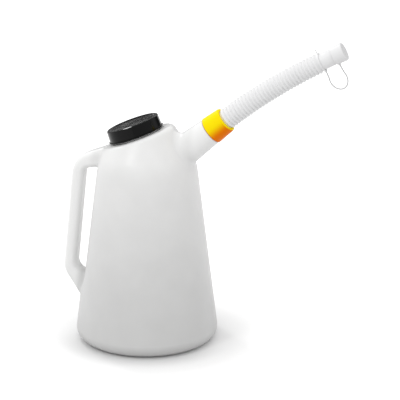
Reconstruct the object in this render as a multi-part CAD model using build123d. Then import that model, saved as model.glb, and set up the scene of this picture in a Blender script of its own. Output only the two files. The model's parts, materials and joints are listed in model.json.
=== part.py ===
"""Five-litre measuring jug with a screw lid and a bendable pouring spout.

Millimetres. Floor at z = 0, jug axis on Z, spout towards +X, handle towards -X.
"""

import math
import os

from build123d import *

os.makedirs("parts", exist_ok=True)

# Jug body, one hollow moulding
wall = 2.0
base_radius = 98.6
taper_deg = 6.92
base_round = 15.5
base_push_up = 4.0
standing_ring_inside = 62.0
shoulder_start = 249.5
shoulder_slope_deg = 58.0
shoulder_round = 60.0
top_edge_round = 8.0

# Finger recess in the back of the jug, behind the handle
recess_depth = 11.0
recess_foot = 78.0
recess_foot_round = 60.0
recess_edge_round = 22.0

# Tilted top with the filling neck
lid_tilt_deg = 20.2
lid_back = 11.9
lid_height = 33.0
neck_radius = 31.0
neck_wall = 2.2
neck_height = 15.5

# Slanted spout neck
spout_tilt_deg = 39.2
spout_inset = 6.32
spout_height = 23.6
snout_root_radius = 20.8
snout_end_radius = 18.4
snout_length = 36.0
snout_fillet = 9.0
thread_radius = 14.2
thread_wall = 2.0
thread_end = 55.0

wall_slope = math.tan(math.radians(taper_deg))
shoulder_radius = base_radius - wall_slope * shoulder_start
lid_centre = (-lid_back, 0.0, shoulder_start + lid_height)
spout_base = (shoulder_radius - spout_inset, 0.0, shoulder_start + spout_height)

# Handle, its corners as (distance out from the jug's wall, height, radius)
handle_half_width = 13.0
handle_edge_round = 7.5
handle_root_fillet = 8.0
handle_corners = [
    (-32.9, 274.3, 10.0),
    (31.0, 248.9, 36.0),
    (28.6, 89.5, 26.0),
    (-14.6, 32.6, 10.0),
    (-38.8, 40.0, 10.0),
    (-31.6, 71.0, 10.0),
    (11.6, 93.5, 14.0),
    (13.6, 234.6, 9.0),
    (-33.0, 241.0, 10.0),
]

# Planes that part the moulding: distance out from the back wall, and along the spout axis
handle_parting = 6.0
snout_parting = 18.0

# Lid and its seal, heights above the tilted top
lid_thread_clearance = 2.6
lid_skirt_wall = 3.2
lid_skirt_draft = 0.6
lid_bead = 1.4
lid_bead_height = 1.8
lid_gap = 2.2
lid_thickness = 2.4
lid_rim_width = 6.2
lid_panel_depth = 0.7
seal_thickness = 1.5
seal_clearance = 0.4
seal_overhang = 2.3

lid_bore_radius = neck_radius + lid_thread_clearance
lid_skirt_radius = lid_bore_radius + lid_skirt_wall
lid_top_radius = lid_skirt_radius - lid_skirt_draft
lid_bead_radius = lid_skirt_radius + lid_bead
lid_panel_radius = lid_top_radius - lid_rim_width
lid_inner_top = neck_height + seal_thickness
lid_top = lid_inner_top + lid_thickness
seal_outside = lid_bore_radius - seal_clearance
seal_inside = neck_radius - neck_wall - seal_overhang

# Bendable spout
spout_wall = 2.0
hose_length = 147.2
hose_turn_deg = 10.8
ridge_count = 29
ridge_radius_start = 14.8
ridge_radius_end = 13.4
ridge_depth = 1.8
cuff_radius = 10.9
cuff_length = 21.5
nozzle_step = 1.5
nozzle_length = 14.4

root_cuff_radius = ridge_radius_start - ridge_depth
spout_bore = root_cuff_radius - spout_wall
tip_bore = ridge_radius_end - ridge_depth - spout_wall
cuff_bore = cuff_radius - spout_wall
nozzle_radius = cuff_radius - nozzle_step
nozzle_bore = nozzle_radius - spout_wall
nozzle_end = cuff_length + nozzle_length

# Screw collar, spout flange and flat seal, distances along the spout axis
collar_gap = 0.6
collar_thread_clearance = 1.7
collar_wall = 3.1
collar_draft = 1.7
collar_roof = 3.6
collar_hole_clearance = 0.4
spout_seal_thickness = 1.6
spout_seal_clearance = 0.7
spout_seal_overhang = 2.7
flange_thickness = 2.4
flange_clearance = 0.5
hose_gap = 0.8

flange_start = thread_end + spout_seal_thickness
flange_end = flange_start + flange_thickness
collar_start = snout_length + collar_gap
collar_end = flange_end + collar_roof
collar_bore_radius = thread_radius + collar_thread_clearance
collar_start_radius = collar_bore_radius + collar_wall
collar_end_radius = collar_start_radius - collar_draft
collar_hole_radius = root_cuff_radius + collar_hole_clearance
spout_seal_outside = collar_bore_radius - spout_seal_clearance
spout_seal_inside = thread_radius - thread_wall - spout_seal_overhang
flange_radius = collar_bore_radius - flange_clearance
hose_start = collar_end + hose_gap

# Cap on the tip, its ring and its tether, distances along the tip
cap_clearance = 0.3
cap_wall = 2.1
cap_flare = 0.5
cap_end_thickness = 1.7
cap_gap = 0.3
ring_position = 3.6
ring_clearance = 0.3
ring_thickness = 1.4
ring_width = 2.6
tail_length = 6.0
tail_size = 1.5
lug_size = 3.0
lug_height = 1.6
cap_lug_position = 2.2
tether_diameter = 1.6
tether_points = [
    (3.6, -21.0),
    (1.6, -30.0),
    (5.4, -39.5),
    (13.6, -44.2),
    (21.6, -41.0),
    (25.8, -32.0),
    (24.0, -21.0),
]

cap_bore_radius = nozzle_radius + cap_clearance
cap_mouth_radius = cap_bore_radius + cap_wall
cap_end_radius = cap_mouth_radius + cap_flare
cap_mouth = cuff_length + cap_gap
cap_end = nozzle_end + cap_end_thickness
ring_inside = cuff_radius + ring_clearance
ring_outside = ring_inside + ring_thickness
ring_lug_reach = ring_outside + lug_height
cap_lug_place = cap_mouth + cap_lug_position
cap_lug_reach = cap_end_radius + lug_height
tether_route = [(ring_position, -ring_lug_reach), *tether_points, (cap_lug_place, -cap_lug_reach)]


def tilted(origin, angle_deg, along=0.0):
    """Plane in the XZ section: its normal leans from +X up towards +Z by angle_deg."""
    a = math.radians(angle_deg)
    normal = Vector(math.cos(a), 0, math.sin(a))
    return Plane(Vector(*origin) + normal * along, x_dir=(0, 1, 0), z_dir=normal)


lid_plane = tilted(lid_centre, 90 + lid_tilt_deg)
spout_plane = tilted(spout_base, spout_tilt_deg)


def beyond(plane, depth=0.0):
    """Everything on the normal side of a plane that is sunk by depth."""
    block = Box(900, 900, 900, align=(Align.CENTER, Align.CENTER, Align.MIN))
    return plane.offset(-depth) * block


def lies_on(edge, plane):
    return all(abs(plane.to_local_coords(edge @ t).Z) < 0.01 for t in (0, 0.25, 0.5, 0.75, 1))


def turned(points, plane):
    """Solid of revolution about a plane's normal from (radius, height) points."""
    face = make_face(Polyline(*[(r, 0, h) for r, h in points], close=True))
    return plane * revolve(face, Axis.Z)


def jug_shell(skin):
    """Cone and shoulder with the finger recess and the sloping top, all faces moved in by skin."""
    taper = math.radians(taper_deg)
    lean = math.radians(90 - shoulder_slope_deg)
    inset = skin / math.cos(taper)
    edge_z = shoulder_start - skin * math.tan((lean - taper) / 2)
    edge_r = base_radius - wall_slope * edge_z - inset
    foot = base_radius - wall_slope * skin - inset
    crown_r = 4.0
    crown_z = edge_z + (edge_r - crown_r) / math.tan(lean)
    rise = base_push_up + skin
    ring = standing_ring_inside
    corners = [
        (0, rise),
        (ring - 7, rise),
        (ring, skin),
        (foot, skin),
        (edge_r, edge_z),
        (crown_r, crown_z),
        (0, crown_z),
    ]
    half = make_face(Polyline(*[(r, 0, h) for r, h in corners], close=True))
    bend = half.vertices().sort_by_distance((edge_r, 0, edge_z))[0]
    half = fillet(bend, shoulder_round - skin)
    form = revolve(half, Axis.Z)
    back = tilted((-base_radius, 0, 0), 180 - taper_deg, -recess_depth - skin)
    ramp_x = recess_depth - base_radius + recess_foot * wall_slope
    ramp = tilted((ramp_x, 0, recess_foot), 135, -skin)
    recess = beyond(back) & beyond(ramp)
    crease = [e for e in recess.edges() if lies_on(e, back) and lies_on(e, ramp)]
    recess = fillet(crease, recess_foot_round + skin)
    hollowed = form - recess
    rims = new_edges(form, recess, combined=hollowed)
    form = fillet([e for e in rims if (e @ 0.5).Z < crown_z - 1], recess_edge_round - skin)
    form = form - beyond(lid_plane, skin)
    top = lid_plane.offset(-skin)
    form = fillet([e for e in form.edges() if lies_on(e, top)], top_edge_round - skin)
    floor = Plane.XY.offset(skin)
    foot_edges = [e for e in form.edges() if lies_on(e, floor)]
    rim = [e for e in foot_edges if math.hypot((e @ 0.5).X, (e @ 0.5).Y) > ring + 10]
    return fillet(rim, base_round - skin)


def handle_bar(skin):
    """The handle as a plate cut to its side view, with rounded edges, all faces moved in by skin."""
    corners = [(wall_slope * z - base_radius - out, 0, z) for out, z, _ in handle_corners]
    side = make_face(FilletPolyline(*corners, radius=[r for _, _, r in handle_corners], close=True))
    if skin:
        side = offset(side, -skin)
    half = handle_half_width - skin
    plate = extrude(side, half, dir=(0, 1, 0), both=True)
    flanks = [Plane.XZ.offset(half), Plane.XZ.offset(-half)]
    edges = [e for e in plate.edges() if any(lies_on(e, flank) for flank in flanks)]
    return fillet(edges, handle_edge_round - skin)


def snout(skin, end):
    """The cone of the spout neck, from inside the jug out to end."""
    narrowing = (snout_root_radius - snout_end_radius) / snout_length
    deep = -30.0
    radius_deep = snout_root_radius - narrowing * deep - skin
    radius_end = snout_root_radius - narrowing * end - skin
    return turned([(0, deep), (radius_deep, deep), (radius_end, end), (0, end)], spout_plane)


def rod(radius, start, end, plane):
    return turned([(0, start), (radius, start), (radius, end), (0, end)], plane)


# Outside of the jug
shell = jug_shell(0)
cone = snout(0, snout_length)
outside = shell + cone
outside = fillet(new_edges(shell, cone, combined=outside), snout_fillet)
bar = handle_bar(0)
joined = outside + bar
outside = fillet(new_edges(outside, bar, combined=joined), handle_root_fillet)
outside += rod(neck_radius, -8, neck_height, lid_plane)
outside += rod(thread_radius, snout_length - 5, thread_end, spout_plane)

# Inside of the jug
inside = jug_shell(wall) + snout(wall, snout_length - wall) + handle_bar(wall)
print("capacity in litres", round(inside.volume / 1e6, 2))
inside += rod(neck_radius - neck_wall, -10, neck_height + 1, lid_plane)
inside += rod(thread_radius - thread_wall, snout_length - 10, thread_end + 1, spout_plane)

# The moulding, parted into body, handle and snout that meet face to face
moulding = outside - inside
handle_side = beyond(tilted((-base_radius, 0, 0), 180 - taper_deg, handle_parting))
snout_side = beyond(spout_plane.offset(snout_parting))
jug_body = moulding - handle_side - snout_side
jug_handle = moulding & handle_side
jug_snout = moulding & snout_side
export_step(jug_body, "parts/jug_body.step")
export_step(jug_handle, "parts/jug_handle.step")
export_step(jug_snout, "parts/jug_snout.step")

# Lid and lid seal
lid = turned(
    [
        (0, lid_inner_top),
        (lid_bore_radius, lid_inner_top),
        (lid_bore_radius, lid_gap),
        (lid_bead_radius - 0.5, lid_gap),
        (lid_bead_radius, lid_gap + 0.5),
        (lid_bead_radius, lid_gap + lid_bead_height),
        (lid_skirt_radius, lid_gap + lid_bead_height + 0.4),
        (lid_top_radius, lid_top - 1.5),
        (lid_top_radius - 0.5, lid_top - 0.5),
        (lid_top_radius - 1.7, lid_top),
        (lid_panel_radius + 0.8, lid_top),
        (lid_panel_radius, lid_top - lid_panel_depth),
        (0, lid_top - lid_panel_depth),
    ],
    lid_plane,
)
export_step(lid, "parts/lid.step")

lid_seal = rod(seal_outside, neck_height, lid_inner_top, lid_plane)
lid_seal -= rod(seal_inside, neck_height - 1, lid_inner_top + 1, lid_plane)
export_step(lid_seal, "parts/lid_seal.step")

# Spout seal and screw collar
spout_seal = rod(spout_seal_outside, thread_end, flange_start, spout_plane)
spout_seal -= rod(spout_seal_inside, thread_end - 1, flange_start + 1, spout_plane)
export_step(spout_seal, "parts/spout_seal.step")

spout_collar = turned(
    [
        (collar_bore_radius, collar_start + 0.6),
        (collar_bore_radius + 0.6, collar_start),
        (collar_start_radius - 0.6, collar_start),
        (collar_start_radius, collar_start + 0.6),
        (collar_end_radius + 0.1, collar_end - 1.4),
        (collar_end_radius - 0.4, collar_end - 0.4),
        (collar_end_radius - 1.2, collar_end),
        (collar_hole_radius, collar_end),
        (collar_hole_radius, flange_end),
        (collar_bore_radius, flange_end),
    ],
    spout_plane,
)
export_step(spout_collar, "parts/spout_collar.step")


def hose_plane(distance):
    """Section plane of the bent spout at a distance along its line."""
    turn = hose_turn_deg * distance / hose_length
    bend_radius = hose_length / math.radians(hose_turn_deg)
    start = math.radians(spout_tilt_deg)
    here = math.radians(spout_tilt_deg - turn)
    shift_x = bend_radius * (math.sin(start) - math.sin(here))
    shift_z = bend_radius * (math.cos(here) - math.cos(start))
    first = spout_plane.offset(hose_start).origin
    return tilted((first.X + shift_x, 0, first.Z + shift_z), spout_tilt_deg - turn)


def stacked(sections):
    """Straight-sided solid through circles, given as (distance, radius) along the bent spout."""
    rings = [Wire.make_circle(radius, hose_plane(distance)) for distance, radius in sections]
    return Solid.make_loft(rings, ruled=True)


# Bendable spout, one moulding from flange to nozzle
tip_plane = hose_plane(hose_length)
pitch = hose_length / ridge_count
narrowing = (ridge_radius_start - ridge_radius_end) / ridge_count
ridges = [(0, ridge_radius_start - ridge_depth)]
for number in range(ridge_count):
    crest = ridge_radius_start - narrowing * (number + 0.5)
    root = ridge_radius_start - narrowing * (number + 1) - ridge_depth
    ridges.append(((number + 0.5) * pitch, crest))
    ridges.append(((number + 1) * pitch, root))
spout = stacked(ridges)
spout += rod(flange_radius, flange_start, flange_end, spout_plane)
spout += rod(root_cuff_radius, flange_start, hose_start, spout_plane)
spout += rod(cuff_radius, 0, cuff_length, tip_plane)
spout += rod(nozzle_radius, cuff_length, nozzle_end, tip_plane)
bore = [(k / 8 * hose_length, spout_bore + k / 8 * (tip_bore - spout_bore)) for k in range(9)]
spout -= stacked(bore)
spout -= rod(spout_bore, flange_start - 1, hose_start, spout_plane)
spout -= rod(cuff_bore, 0, cuff_length, tip_plane)
spout -= rod(nozzle_bore, cuff_length - 1, nozzle_end + 1, tip_plane)
export_step(spout, "parts/spout.step")


def lug(position, start, reach):
    """Small block that stands on the underside of the tip, from radius start to reach."""
    block = Box(lug_size, reach - start, lug_size, align=(Align.CENTER, Align.MAX, Align.CENTER))
    return tip_plane * Pos(0, -start, position) * block


# Cap on the tip
tip_cap = turned(
    [
        (cap_bore_radius, cap_mouth),
        (cap_mouth_radius, cap_mouth),
        (cap_end_radius, cap_end - 1.0),
        (cap_end_radius - 0.8, cap_end),
        (0, cap_end),
        (0, nozzle_end),
        (cap_bore_radius, nozzle_end),
    ],
    tip_plane,
)
tip_cap += lug(cap_lug_place, cap_bore_radius + 1.0, cap_lug_reach)
export_step(tip_cap, "parts/tip_cap.step")

# Ring round the cuff with its tail, and the tether to the cap
low = ring_position - ring_width / 2
high = ring_position + ring_width / 2
tether_ring = rod(ring_outside, low, high, tip_plane)
tether_ring += lug(ring_position, ring_inside + 0.6, ring_lug_reach)
tail = Box(tail_size, tail_length + 1, tail_size, align=(Align.CENTER, Align.MIN, Align.CENTER))
tether_ring += tip_plane * Pos(0, ring_outside - 1, ring_position) * tail
tether_ring -= rod(ring_inside, low - 1, high + 1, tip_plane)
export_step(tether_ring, "parts/tether_ring.step")

route = [tip_plane.from_local_coords(Vector(0, m, t)) for t, m in tether_route]
bends = []
for before, here, after in zip(route, route[1:], route[2:]):
    turn = (here - before).get_angle(after - here)
    shorter = min((here - before).length, (after - here).length)
    bends.append(0.45 * shorter / math.tan(math.radians(turn / 2)))
print("tether bends", [round(r, 1) for r in bends])
line = FilletPolyline(*route, radius=bends)
end_face = Plane(route[0], z_dir=route[1] - route[0]) * Circle(tether_diameter / 2)
cap_tether = sweep(end_face, path=line)
export_step(cap_tether, "parts/cap_tether.step")
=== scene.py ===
import json
import math

import bpy
import bmesh
import numpy as np
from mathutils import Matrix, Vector


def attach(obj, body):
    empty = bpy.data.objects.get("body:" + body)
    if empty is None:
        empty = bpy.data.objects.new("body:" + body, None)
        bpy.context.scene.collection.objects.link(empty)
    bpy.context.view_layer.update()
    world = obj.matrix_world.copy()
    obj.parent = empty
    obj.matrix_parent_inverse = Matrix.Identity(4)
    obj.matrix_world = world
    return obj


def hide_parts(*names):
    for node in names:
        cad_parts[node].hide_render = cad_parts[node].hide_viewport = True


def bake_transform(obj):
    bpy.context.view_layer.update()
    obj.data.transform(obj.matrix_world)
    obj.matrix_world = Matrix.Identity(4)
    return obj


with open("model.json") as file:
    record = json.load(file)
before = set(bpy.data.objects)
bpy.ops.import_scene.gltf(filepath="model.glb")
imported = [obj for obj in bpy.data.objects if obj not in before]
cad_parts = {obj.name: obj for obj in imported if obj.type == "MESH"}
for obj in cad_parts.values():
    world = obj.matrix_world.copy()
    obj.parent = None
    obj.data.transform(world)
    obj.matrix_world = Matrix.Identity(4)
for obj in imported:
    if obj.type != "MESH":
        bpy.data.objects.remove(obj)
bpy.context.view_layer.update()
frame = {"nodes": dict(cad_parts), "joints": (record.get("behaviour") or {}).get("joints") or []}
nodes = frame["nodes"]
MM = 0.001
MM3_PER_LITRE = 1e6
ACROSS = np.array([0.0, 1.0, 0.0])

# Sizes shared with the solids, in millimetres and degrees
BASE_RADIUS, TAPER, WALL, PUSH_UP = 98.6, 6.92, 2.0, 3.0
SHOULDER_START, SHOULDER_SLOPE, SHOULDER_ROUND = 249.5, 58.0, 60.0
RECESS_DEPTH, RECESS_START = 11.0, 85.0
LID_ORIGIN, LID_TILT = (-11.9, 0.0, 282.5), 90 + 20.2
NECK_RADIUS, LID_BORE = 31.0, 33.6
SPOUT_ORIGIN, SPOUT_TILT = (62.0, 0.0, 273.1), 39.2
OUTLET_RADIUS, COLLAR_BORE = 14.2, 15.9
FLANGE_START, FLANGE_END, FLANGE_RADIUS = 56.6, 59.0, 15.4
HOSE_START, HOSE_LENGTH, HOSE_TURN = 63.4, 147.2, 10.8
RIDGES, FIRST_CREST, LAST_CREST, RIDGE_DEPTH = 29, 14.8, 13.4, 1.8
FIRST_BORE, LAST_BORE = 11.0, 9.6
CUFF_RADIUS, CUFF_BORE, CUFF_LENGTH = 10.9, 8.9, 21.5
NOZZLE_RADIUS, NOZZLE_BORE, NOZZLE_END = 9.4, 7.4, 35.9

# Route of the tether, along and above the axis of the spout's tip
TETHER = [(3.6, -14.2), (3.6, -21.0), (1.6, -30.0), (5.4, -39.5), (13.6, -44.2), (21.6, -41.0),
          (25.8, -32.0), (24.0, -21.0), (24.0, -13.9)]
TETHER_DIAMETER = 1.6

# Finer than the solids: edges and fillets of the spout, as steps along it and out from it
FLANGE_EDGE, CUFF_EDGE, NOZZLE_EDGE, MOUTH_CHAMFER, BORE_STEP = 0.4, 0.5, 0.5, 0.3, 1.0
FLANGE_FILLET = [(0.0, 0.3), (0.1, 0.08), (0.35, 0.0)]
CUFF_FILLET = [(0.5, 0.25), (0.9, 0.05), (1.4, 0.0)]
NOZZLE_FILLET = [(0.0, 0.2), (0.2, 0.0)]
ROUND_SAG = 0.3
STRAIGHT_BEFORE_HOSE = 0.6
STEPS_PER_RIDGE, RIDGE_FULLNESS, BORE_WAVE = 10, 0.75, 0.25

# Sections of raised lines: share of the height and of the width, with 0 for the sunk feet
THREAD_SECTION = ((0, -0.5), (0.85, -0.24), (1, -0.14), (1, 0.14), (0.85, 0.24), (0, 0.5))
BAR_SECTION = ((0, -0.5), (0.7, -0.38), (1, -0.15), (1, 0.15), (0.7, 0.38), (0, 0.5))
THREAD_SUNK, SCALE_SUNK = 0.2, 0.3

# Moulded scale on the far side
LONG_BAR, SHORT_BAR, BAR_WIDTH, SCALE_PROUD = 30.0, 16.0, 1.4, 0.5
NUMERAL_SIZE, NUMERAL_OFFSET, NUMERAL_DEPTH, NUMERAL_EDGE = 11.0, 23.0, 0.5, 0.12
FIRST_HALF_LITRE, LAST_HALF_LITRE = 2, 10


# Directions and meshes


def heading(angle):
    """Unit vector in the side plane at an angle above +X."""
    a = math.radians(angle)
    return np.array([math.cos(a), 0.0, math.sin(a)])


def upward(angle):
    """Unit vector in the side plane at a right angle to the heading."""
    return heading(angle + 90)


def new_mesh(name, verts, faces, smooth_deg=40):
    """Object from points in millimetres, smooth over edges that turn less than smooth_deg."""
    mesh = bpy.data.meshes.new(name)
    mesh.from_pydata([tuple(float(c) * MM for c in v) for v in verts], [], faces)
    bm = bmesh.new()
    bm.from_mesh(mesh)
    bmesh.ops.recalc_face_normals(bm, faces=bm.faces)
    limit = math.radians(smooth_deg)
    for face in bm.faces:
        face.smooth = True
    for edge in bm.edges:
        edge.smooth = len(edge.link_faces) == 2 and edge.calc_face_angle(0.0) < limit
    bm.to_mesh(mesh)
    bm.free()
    return in_scene(name, mesh)


def in_scene(name, data):
    obj = bpy.data.objects.new(name, data)
    bpy.context.scene.collection.objects.link(obj)
    return obj


def mesh_of(curve):
    """Mesh that Blender makes of a curve or a text."""
    maker = in_scene("curve_maker", curve)
    bpy.context.view_layer.update()
    mesh = bpy.data.meshes.new_from_object(maker.evaluated_get(bpy.context.evaluated_depsgraph_get()))
    bpy.data.objects.remove(maker)
    return mesh


def grid_faces(rows, columns, wrap_rows=False):
    """Quads between rows of points, each row closed to a ring."""
    faces = []
    for i in range(rows if wrap_rows else rows - 1):
        here, there = i * columns, (i + 1) % rows * columns
        for j in range(columns):
            k = (j + 1) % columns
            faces.append((here + j, here + k, there + k, there + j))
    return faces


def capped_faces(rows, columns):
    """Quads between rings, and a face on the first and on the last ring."""
    last = (rows - 1) * columns
    ends = [tuple(range(columns)), tuple(range(last, last + columns))]
    return grid_faces(rows, columns) + ends


def ring(centre, up, radius, segments):
    """Points of a circle across a line that lies in the side plane."""
    turns = [2 * math.pi * j / segments for j in range(segments)]
    return [centre + radius * (math.cos(a) * up + math.sin(a) * ACROSS) for a in turns]


# Spout: flange, rounded bellows, cuff and nozzle in one skin


def along_spout(s):
    """Centre and angle of the spout at s mm past the first ridge."""
    first = np.array(SPOUT_ORIGIN) + heading(SPOUT_TILT) * HOSE_START
    radius = HOSE_LENGTH / math.radians(HOSE_TURN)
    on_arc = min(max(s, 0.0), HOSE_LENGTH)
    angle = SPOUT_TILT - HOSE_TURN * on_arc / HOSE_LENGTH
    centre = first + radius * (upward(angle) - upward(SPOUT_TILT))
    return centre + heading(angle) * (s - on_arc), angle


def rounded_rim(s, radius, edge):
    """Points from the side of a rim that ends at s, round its edge to its end face."""
    sag = ROUND_SAG * edge
    return [(s - edge, radius), (s - sag, radius - sag), (s, radius - edge)]


def shifted(points, s, radius):
    return [(s + along, radius + out) for along, out in points]


def spout_profile():
    """Closed outline of the spout's wall: distance past the first ridge, and radius."""
    root = FIRST_CREST - RIDGE_DEPTH
    start = FLANGE_START - HOSE_START
    face = FLANGE_END - HOSE_START
    front_rim = rounded_rim(-start, FLANGE_RADIUS, FLANGE_EDGE)
    line = [(start, FIRST_BORE)]
    line += [(-s, r) for s, r in reversed(front_rim)]
    line += rounded_rim(face, FLANGE_RADIUS, FLANGE_EDGE)
    line += shifted(FLANGE_FILLET, face, root)
    line.append((-STRAIGHT_BEFORE_HOSE, root))
    for n in range(RIDGES * STEPS_PER_RIDGE + 1):
        share = n / (RIDGES * STEPS_PER_RIDGE)
        crest = FIRST_CREST + (LAST_CREST - FIRST_CREST) * share
        wave = 0.5 - 0.5 * math.cos(2 * math.pi * n / STEPS_PER_RIDGE)
        line.append((HOSE_LENGTH * share, crest - RIDGE_DEPTH * (1 - wave ** RIDGE_FULLNESS)))
    cuff_end = HOSE_LENGTH + CUFF_LENGTH
    mouth = HOSE_LENGTH + NOZZLE_END
    line += shifted(CUFF_FILLET, HOSE_LENGTH, CUFF_RADIUS)
    line.append((HOSE_LENGTH + CUFF_LENGTH / 2, CUFF_RADIUS))
    line += rounded_rim(cuff_end, CUFF_RADIUS, CUFF_EDGE)
    line += shifted(NOZZLE_FILLET, cuff_end, NOZZLE_RADIUS)
    line += rounded_rim(mouth, NOZZLE_RADIUS, NOZZLE_EDGE)
    line += [(mouth, NOZZLE_BORE + MOUTH_CHAMFER), (mouth - MOUTH_CHAMFER, NOZZLE_BORE)]
    line += [(cuff_end, NOZZLE_BORE), (cuff_end - BORE_STEP, CUFF_BORE), (HOSE_LENGTH, CUFF_BORE)]
    for n in range(RIDGES * 2 + 1):
        share = n / (RIDGES * 2)
        bore = LAST_BORE + (FIRST_BORE - LAST_BORE) * share
        line.append((HOSE_LENGTH * (1 - share), bore + (BORE_WAVE if n % 2 else 0.0)))
    return line


def make_spout(segments=72):
    line = spout_profile()
    verts = []
    for s, radius in line:
        centre, angle = along_spout(s)
        verts += ring(centre, upward(angle), radius, segments)
    return new_mesh("ribbed_spout", verts, grid_faces(len(line), segments, wrap_rows=True), smooth_deg=50)


# Raised lines: screw threads on both necks and in lid and collar, and bars of the scale


def raised_line(name, section, count, sunk, height, place):
    """Section swept through count steps and closed at both ends.

    height(t) is how far it stands out at a share t of its length, and place(t, lift, shift) the
    point there that lies lift mm above the surface and shift widths to the side.
    """
    verts = []
    for t in (i / count for i in range(count + 1)):
        for share, shift in section:
            lift = share * height(t) if share else -sunk
            verts.append(place(t, lift, shift))
    return new_mesh(name, verts, capped_faces(count + 1, len(section)), smooth_deg=60)


def thread(name, origin, tilt, radius, height, pitch, turns, start, width, inward=False,
           steps_per_turn=72, fade_share=0.1, least=0.04):
    """Screw thread that fades out at both ends, half a turn on where it is an inside one."""
    axis, side = heading(tilt), upward(tilt)
    phase = math.pi if inward else 0.0
    out_sign = -1 if inward else 1

    def rise(t):
        fade = min(1.0, t / fade_share, (1 - t) / fade_share)
        return height * (least + (1 - least) * fade * fade * (3 - 2 * fade))

    def place(t, lift, shift):
        angle = phase + 2 * math.pi * turns * t
        out = math.cos(angle) * side + math.sin(angle) * np.cross(axis, side)
        base = np.array(origin) + axis * (start + pitch * turns * t)
        return base + out * (radius + out_sign * lift) + axis * shift * width

    return raised_line(name, THREAD_SECTION, int(turns * steps_per_turn), THREAD_SUNK, rise, place)


def wall_radius(z):
    """Outside radius of the jug at a height, on the cone or on the round that leads to the shoulder."""
    taper = math.radians(TAPER)
    bend = math.radians(90 - SHOULDER_SLOPE) - taper
    round_start = SHOULDER_START - SHOULDER_ROUND * math.tan(bend / 2) * math.cos(taper)
    cone = BASE_RADIUS - math.tan(taper) * min(z, round_start)
    if z <= round_start:
        return cone
    centre_r = cone - SHOULDER_ROUND * math.cos(taper)
    centre_z = round_start - SHOULDER_ROUND * math.sin(taper)
    return centre_r + math.sqrt(SHOULDER_ROUND ** 2 - (z - centre_z) ** 2)


def fill_height(litres, step=0.25):
    """Height of the surface for a filling, from the jug's inside."""
    volume, z = 0.0, WALL + PUSH_UP
    while volume < litres * MM3_PER_LITRE:
        r = wall_radius(z) - WALL
        flat = r - RECESS_DEPTH if z > RECESS_START else r
        half = math.acos(max(-1.0, min(1.0, flat / r)))
        volume += (math.pi * r * r - r * r * (half - math.sin(half) * math.cos(half))) * step
        z += step
    return z


def on_far_side(radius, around, z):
    """Point at a height on the jug's far side, at an angle round from its middle."""
    angle = math.pi / 2 + around
    return (radius * math.cos(angle), radius * math.sin(angle), z)


def scale_bar(name, z, length, count=24, end_share=0.125):
    def rise(t):
        return SCALE_PROUD * min(1.0, t / end_share, (1 - t) / end_share) ** 0.5

    def place(t, lift, shift):
        h = z + shift * BAR_WIDTH
        return on_far_side(wall_radius(h) + lift, (t - 0.5) * length / wall_radius(z), h)

    return raised_line(name, BAR_SECTION, count, SCALE_SUNK, rise, place)


def numeral(text, z):
    """Raised figure beside a bar, bent round the wall."""
    curve = bpy.data.curves.new("numeral_" + text, "FONT")
    curve.body = text
    curve.size = NUMERAL_SIZE
    curve.align_x = "CENTER"
    curve.align_y = "CENTER"
    curve.extrude = NUMERAL_DEPTH
    curve.bevel_depth = NUMERAL_EDGE
    curve.bevel_resolution = 1
    curve.resolution_u = 4
    mesh = mesh_of(curve)
    top = max(v.co.z for v in mesh.vertices)
    for v in mesh.vertices:
        h = z + v.co.y
        lift = SCALE_PROUD + (v.co.z - top) / 2 if v.co.z > 0 else -SCALE_SUNK
        around = (v.co.x + NUMERAL_OFFSET) / wall_radius(z)
        v.co = Vector(on_far_side(wall_radius(h) + lift, around, h)) * MM
    return in_scene("scale_numeral_" + text, mesh)


# Shader nodes


class Tree:
    """Node tree of a material or a world, with a short call for each kind of node used here."""

    def __init__(self, owner):
        owner.use_nodes = True
        self.nodes = owner.node_tree.nodes
        self.links = owner.node_tree.links

    def feed(self, slot, value):
        """Link a socket to an input, or write a number or a colour there."""
        if isinstance(value, bpy.types.NodeSocket):
            self.links.new(value, slot)
        else:
            slot.default_value = value

    def add(self, kind, inputs, **settings):
        node = self.nodes.new(kind)
        for setting, value in settings.items():
            setattr(node, setting, value)
        for slot, value in inputs.items():
            self.feed(node.inputs[slot], value)
        return node

    def place(self, name="Position"):
        return self.nodes.new("ShaderNodeNewGeometry").outputs[name]

    def part(self, vector, axis):
        return self.add("ShaderNodeSeparateXYZ", {"Vector": vector}).outputs[axis]

    def length(self, vector):
        return self.add("ShaderNodeVectorMath", {0: vector}, operation="LENGTH").outputs["Value"]

    def maths(self, operation, *values):
        inputs = dict(enumerate(values))
        return self.add("ShaderNodeMath", inputs, operation=operation).outputs["Value"]

    def noise(self, scale, detail):
        inputs = {"Vector": self.place(), "Scale": scale, "Detail": detail}
        return self.add("ShaderNodeTexNoise", inputs).outputs["Fac"]

    def mapped(self, value, low, high, to_low=0.0, to_high=1.0, interpolation="SMOOTHSTEP"):
        """Value moved from one range to another, and kept within it."""
        inputs = {"Value": value, "From Min": low, "From Max": high, "To Min": to_low, "To Max": to_high}
        node = self.add("ShaderNodeMapRange", inputs, interpolation_type=interpolation)
        return node.outputs["Result"]

    def mixed(self, share, first, second, blend="MIX"):
        inputs = {"Factor": share, "A": first, "B": second}
        node = self.add("ShaderNodeMix", inputs, data_type="RGBA", blend_type=blend)
        return node.outputs["Result"]

    def bump(self, height, strength, distance, normal=None):
        inputs = {"Height": height, "Strength": strength, "Distance": distance}
        if normal:
            inputs["Normal"] = normal
        return self.add("ShaderNodeBump", inputs).outputs["Normal"]


# Plastics

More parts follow.
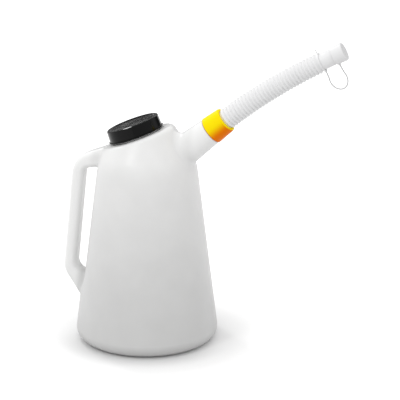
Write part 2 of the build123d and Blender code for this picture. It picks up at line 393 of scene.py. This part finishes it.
SKIN_DEPTH, SEAM_DEPTH, SEAM_WIDTH, SEAM_STRENGTH = 0.0002, 0.0002, 0.0006, 0.5
CLOUD_SCALE, WEAR_SCALE = 28.0, 90.0
CLOUD_DETAIL, WEAR_DETAIL, SKIN_DETAIL = 3.0, 4.0, 2.0
NOISE_LOW, NOISE_HIGH = 0.3, 0.7
SMOOTHER, ROUGHER = 0.05, 0.06
# Reach of the painted light past the cone, and bounds of the painted shade underneath and at the outline
PAINTED_GLOW_REACH = 12.0
SIDEWAYS, DOWNWARD = 0.2, -0.4
OUTLINE_SHADE_START, OUTLINE_SHADE_END = 0.5, 1.0
PLASTIC_IOR = 1.5
BEVEL_SAMPLES = 6


def clouded(tree, colour, clouds):
    """Colour that drifts between two tones."""
    ramp = tree.add("ShaderNodeValToRGB", {"Fac": tree.noise(CLOUD_SCALE, CLOUD_DETAIL)})
    for element, position, tone in zip(ramp.color_ramp.elements, (NOISE_LOW, NOISE_HIGH), (clouds, colour)):
        element.position = position
        element.color = (*tone, 1)
    return ramp.outputs["Color"]


def painted_shade_below(tree, surface, low, high, strength):
    """Painted shade: the colour darkens towards the base."""
    tone = tree.mapped(tree.part(tree.place(), "Z"), low, high, 1.0 - strength, 1.0)
    return tree.mixed(1.0, surface, tone, "MULTIPLY")


def painted_glow_past_cone(tree, surface, pale):
    """Painted light: a paler tone on handle and snout, which stand out from the jug's cone, standing in for
    the light that passes through their thin walls.
    """
    place = tree.place()
    flat = tree.add("ShaderNodeCombineXYZ", {"X": tree.part(place, "X"), "Y": tree.part(place, "Y")})
    lean = tree.maths("MULTIPLY", tree.part(place, "Z"), math.tan(math.radians(TAPER)))
    past = tree.maths("ADD", tree.length(flat.outputs["Vector"]), lean)
    share = tree.mapped(past, BASE_RADIUS * MM, (BASE_RADIUS + PAINTED_GLOW_REACH) * MM)
    return tree.mixed(share, surface, (*pale, 1))


def painted_shade_underneath(tree, surface, deep):
    """Painted shade: a deeper tone on faces that look down."""
    share = tree.mapped(tree.part(tree.place("Normal"), "Z"), SIDEWAYS, DOWNWARD)
    return tree.mixed(share, surface, (*deep, 1))


def painted_outline_shade(tree, surface, strength):
    """Painted shade: the colour darkens where the surface turns away from view, as on milky plastic before
    white.
    """
    facing = tree.add("ShaderNodeLayerWeight", {"Blend": 0.5}).outputs["Facing"]
    tone = tree.mapped(facing, OUTLINE_SHADE_START, OUTLINE_SHADE_END, 1.0, 1.0 - strength)
    return tree.mixed(1.0, surface, tone, "MULTIPLY")


def plastic(name, colour, roughness, clouds=None, speck=0.02, bump=0.06, grain=1400.0, edge=0.25,
            seam=False, shade=None, painted_glow=None, underside_shade=None, rim=0.0, specular=0.5):
    """Moulded plastic with a cloudy colour, uneven gloss and a fine skin.

    clouds is the second tone, or speck how much darker it is; edge softens the edges by so many
    millimetres; seam draws the mould's parting line; the four after it give, in order, the strength
    or tone of the painted shade towards the base, of the painted light on handle and snout, of the
    painted shade on faces that look down and of the painted shade at the outline.
    """
    material = bpy.data.materials.new(name)
    tree = Tree(material)
    surface = clouded(tree, colour, clouds or [c * (1 - speck * 2) for c in colour])
    # Painted shade and light laid over the colour, each where it is given
    if shade:
        surface = painted_shade_below(tree, surface, *shade)
    if painted_glow:
        surface = painted_glow_past_cone(tree, surface, painted_glow)
    if underside_shade:
        surface = painted_shade_underneath(tree, surface, underside_shade)
    if rim:
        surface = painted_outline_shade(tree, surface, rim)
    gloss = tree.mapped(tree.noise(WEAR_SCALE, WEAR_DETAIL), NOISE_LOW, NOISE_HIGH,
                        roughness - SMOOTHER, roughness + ROUGHER, "LINEAR")
    soft = None
    if edge:
        soft = tree.add("ShaderNodeBevel", {"Radius": edge * MM}, samples=BEVEL_SAMPLES).outputs["Normal"]
    normal = tree.bump(tree.noise(grain, SKIN_DETAIL), bump, SKIN_DEPTH, soft)
    if seam:
        away = tree.maths("ABSOLUTE", tree.part(tree.place(), "Y"))
        line = tree.mapped(away, 0.0, SEAM_WIDTH, 1.0, 0.0)
        normal = tree.bump(line, SEAM_STRENGTH, SEAM_DEPTH, normal)
    shader = tree.nodes["Principled BSDF"]
    looks = {"Base Color": surface, "Roughness": gloss, "Normal": normal, "Specular IOR Level": specular,
             "IOR": PLASTIC_IOR}
    for slot, value in looks.items():
        tree.feed(shader.inputs[slot], value)
    return material


# Painted shade towards the base and at the outline, and painted light on handle and snout, on the natural
# plastic; painted shade at the outline on the white and tether plastics; painted orange shade underneath on
# the yellow
natural = plastic("natural_polyethylene", (0.83, 0.83, 0.825), 0.33, edge=0.0, seam=True,
                  shade=(0.02, 0.29, 0.26), painted_glow=(0.89, 0.89, 0.885), rim=0.14)
white = plastic("white_polyethylene", (0.86, 0.86, 0.865), 0.4, rim=0.2)
cord = plastic("tether_polyethylene", (0.55, 0.55, 0.555), 0.4, rim=0.5)
black = plastic("black_polypropylene", (0.003, 0.003, 0.0031), 0.1, speck=0.1, bump=0.01, grain=1800.0,
                edge=0.0, specular=0.14)
yellow = plastic("yellow_polyethylene", (1.0, 0.8, 0.0), 0.35, clouds=(1.0, 0.75, 0.0),
                 underside_shade=(0.9, 0.2, 0.0), edge=0.4, specular=0.06)
rubber = plastic("seal_rubber", (0.03, 0.03, 0.031), 0.7, bump=0.2, grain=2500.0)

# Looks of the solids that show as they are
LOOKS = {
    "jug_body": natural, "jug_handle": natural, "jug_snout": natural, "lid": black, "lid_seal": rubber,
    "spout_seal": rubber, "spout_collar": yellow, "tip_cap": white, "tether_ring": white,
}
for node, material in LOOKS.items():
    nodes[node].data.materials.clear()
    nodes[node].data.materials.append(material)


def dress(obj, material):
    obj.data.materials.clear()
    obj.data.materials.append(material)
    return obj


# Spout, made in place of the solid one; its hinge is looked up from the joints
BEND_REACH = 0.045
pivot = next(j for j in frame["joints"] if j["name"] == "spout_bend")["pos_m"]
reach = heading(SPOUT_TILT - HOSE_TURN / 2) * BEND_REACH
spout = dress(make_spout(), white)
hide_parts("spout")
tuple(np.array(pivot) - reach)
tuple(np.array(pivot) + reach)
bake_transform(spout)

# Screw threads
LID_SCREW = {"origin": LID_ORIGIN, "tilt": LID_TILT, "height": 1.5, "pitch": 6.0}
COLLAR_SCREW = {"origin": SPOUT_ORIGIN, "tilt": SPOUT_TILT, "height": 1.0, "pitch": 4.5}
neck_thread = thread("neck_thread", radius=NECK_RADIUS, turns=1.6, start=3.6, width=2.6, **LID_SCREW)
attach(dress(neck_thread, natural), "jug")
lid_thread = thread("lid_thread", radius=LID_BORE, turns=1.3, start=3.4, width=2.2, inward=True,
                    **LID_SCREW)
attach(dress(lid_thread, black), "lid")
outlet_thread = thread("outlet_thread", radius=OUTLET_RADIUS, turns=2.4, start=41.5, width=2.0,
                       **COLLAR_SCREW)
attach(dress(outlet_thread, natural), "jug")
collar_thread = thread("collar_thread", radius=COLLAR_BORE, turns=2.2, start=40.5, width=1.7, inward=True,
                       **COLLAR_SCREW)
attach(dress(collar_thread, yellow), "collar")

# Scale: a bar for each half litre, and a numeral for each whole one
for half_litres in range(FIRST_HALF_LITRE, LAST_HALF_LITRE + 1):
    litres = half_litres / 2
    whole = half_litres % 2 == 0
    height = fill_height(litres)
    bar = scale_bar("scale_bar_%02d" % half_litres, height, LONG_BAR if whole else SHORT_BAR)
    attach(dress(bar, natural), "jug")
    if whole:
        digit = numeral("%d" % litres, height)
        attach(dress(digit, natural), "jug")


# Tether: its line is the spline that the route's points draw


def spline_points(route):
    """Points in millimetres on the spline of a route in metres."""
    curve = bpy.data.curves.new("tether_line", "CURVE")
    curve.dimensions = "3D"
    spline = curve.splines.new("NURBS")
    spline.points.add(len(route) - 1)
    for point, place in zip(spline.points, route):
        point.co = (*place, 1.0)
    spline.order_u = 3
    spline.use_endpoint_u = True
    spline.resolution_u = 16
    return [np.array(v.co) / MM for v in mesh_of(curve).vertices]


def make_tether(points, segments=14):
    verts = []
    for i, point in enumerate(points):
        ahead = points[min(i + 1, len(points) - 1)] - points[max(i - 1, 0)]
        ahead /= np.linalg.norm(ahead)
        verts += ring(point, np.cross(ahead, ACROSS), TETHER_DIAMETER / 2, segments)
    return new_mesh("tether", verts, capped_faces(len(points), segments))


tip, tip_angle = along_spout(HOSE_LENGTH)
route = [(tip + heading(tip_angle) * t + upward(tip_angle) * m) * MM for t, m in TETHER]
points = spline_points(route)
tether = dress(make_tether(points), cord)
tether_length = sum(float(np.linalg.norm(b - a)) for a, b in zip(points, points[1:])) * MM
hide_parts("cap_tether")
tuple(route[0])
tuple(route[0])
tuple(route[-1])
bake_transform(tether)

# Floor, in metres
FLOOR_REACH, FLOOR_DROP = 30, 0.0002
# Bounds of the painted shadow in front of the base, and of the paper's glow
PAINTED_SHADOW_START, PAINTED_SHADOW_END, PAINTED_SHADOW_FRONT = 0.13, 0.09, -0.09
GLOW_START, GLOW_END = 0.1, 0.25

scene = bpy.context.scene
scene.view_settings.view_transform = "Standard"


def paper_floor(seen, bounced, glow, painted_shadow):
    """White paper, brighter to camera and mirrors than as a light, and brightest far from the jug.

    It is darker close in front of the base, where a painted shadow lies.
    """
    material = bpy.data.materials.new("white_paper")
    tree = Tree(material)
    ray = tree.nodes.new("ShaderNodeLightPath").outputs
    mirrored = tree.maths("MAXIMUM", ray["Is Glossy Ray"], ray["Is Transmission Ray"])
    looked_at = tree.maths("MAXIMUM", ray["Is Camera Ray"], mirrored)
    place = tree.place()
    away = tree.length(place)
    # Painted shadow: the paper is darker close in front of the base
    close = tree.mapped(away, PAINTED_SHADOW_START, PAINTED_SHADOW_END)
    front = tree.mapped(tree.part(place, "Y"), 0.0, PAINTED_SHADOW_FRONT, 0.0, painted_shadow)
    paper = tree.maths("SUBTRACT", seen, tree.maths("MULTIPLY", close, front))
    spread = tree.mapped(away, GLOW_START, GLOW_END, 0.0, glow)
    looks = {
        "Base Color": tree.mapped(looked_at, 0.0, 1.0, bounced, paper, "LINEAR"),
        "Emission Color": (1, 1, 1, 1),
        "Emission Strength": tree.maths("MULTIPLY", looked_at, spread),
        "Roughness": 0.9,
        "Specular IOR Level": 0.0,
    }
    shader = tree.nodes["Principled BSDF"]
    for slot, value in looks.items():
        tree.feed(shader.inputs[slot], value)
    return material


floor_mesh = bpy.data.meshes.new("floor")
corners = [(x * FLOOR_REACH, y * FLOOR_REACH, 0) for x, y in ((-1, -1), (1, -1), (1, 1), (-1, 1))]
floor_mesh.from_pydata(corners, [], [(0, 1, 2, 3)])
floor = in_scene("floor", floor_mesh)
floor.location.z = -FLOOR_DROP
floor.data.materials.append(paper_floor(seen=0.92, bounced=0.62, glow=0.35, painted_shadow=0.2))


# Light: bounds in the sky are parts of the unit vector towards it
OVERHEAD = 0.8
BACK_START, BACK_END = 0.4, 0.8
LOW_START, LOW_END = 0.35, 0.1


def studio_sky(level, zenith, right, behind):
    """White tent, dimmer at eye level than overhead, on the right than on the left, and low down behind."""
    sky = bpy.data.worlds.new("studio")
    tree = Tree(sky)
    toward = tree.nodes.new("ShaderNodeTexCoord").outputs["Generated"]
    x, y, z = (tree.part(toward, axis) for axis in "XYZ")
    rise = tree.mapped(z, 0.0, OVERHEAD, level, zenith, "LINEAR")
    across = tree.mapped(x, -1.0, 1.0, 2.0 - right, right, "LINEAR")
    at_back = tree.mapped(y, BACK_START, BACK_END, 0.0, 1.0 - behind)
    low_down = tree.mapped(z, LOW_START, LOW_END)
    left_over = tree.maths("SUBTRACT", 1.0, tree.maths("MULTIPLY", at_back, low_down))
    tent = tree.maths("MULTIPLY", rise, across)
    background = tree.nodes["Background"]
    tree.feed(background.inputs["Color"], (1, 1, 1, 1))
    tree.feed(background.inputs["Strength"], tree.maths("MULTIPLY", tent, left_over))
    return sky


def aimed(obj, place, direction):
    """Put a lamp or the camera in its place, looking along a direction."""
    obj.location = place
    obj.rotation_mode = "QUATERNION"
    obj.rotation_quaternion = direction.to_track_quat("-Z", "Y")
    return obj


def softbox(name, place, aim, size, power):
    lamp = bpy.data.lights.new(name, "AREA")
    lamp.shape = "RECTANGLE"
    lamp.size, lamp.size_y = size
    lamp.energy = power
    return aimed(in_scene(name, lamp), place, Vector(aim) - Vector(place))


scene.world = studio_sky(level=0.97, zenith=1.05, right=0.94, behind=0.08)
softbox("key_box", place=(-0.7, -1.2, 1.7), aim=(0.05, 0.0, 0.2), size=(0.36, 0.24), power=4)
softbox("back_box", place=(-0.87, 0.78, 1.25), aim=(0.0, 0.0, 0.29), size=(0.2, 0.2), power=3)

# Camera at the photograph's angle
AZIMUTH, ELEVATION, DISTANCE = math.radians(14), math.radians(17), 2.5
TARGET = Vector((0.07506, 0.0, 0.1990))

camera = bpy.data.cameras.new("camera")
camera.sensor_width = 36.0
camera.lens = 167.9
camera.dof.use_dof = False
camera.clip_start, camera.clip_end = 0.05, 100.0
toward = Vector((math.sin(AZIMUTH) * math.cos(ELEVATION), -math.cos(AZIMUTH) * math.cos(ELEVATION),
                 math.sin(ELEVATION)))
scene.camera = aimed(in_scene("camera", camera), TARGET + toward * DISTANCE, -toward)
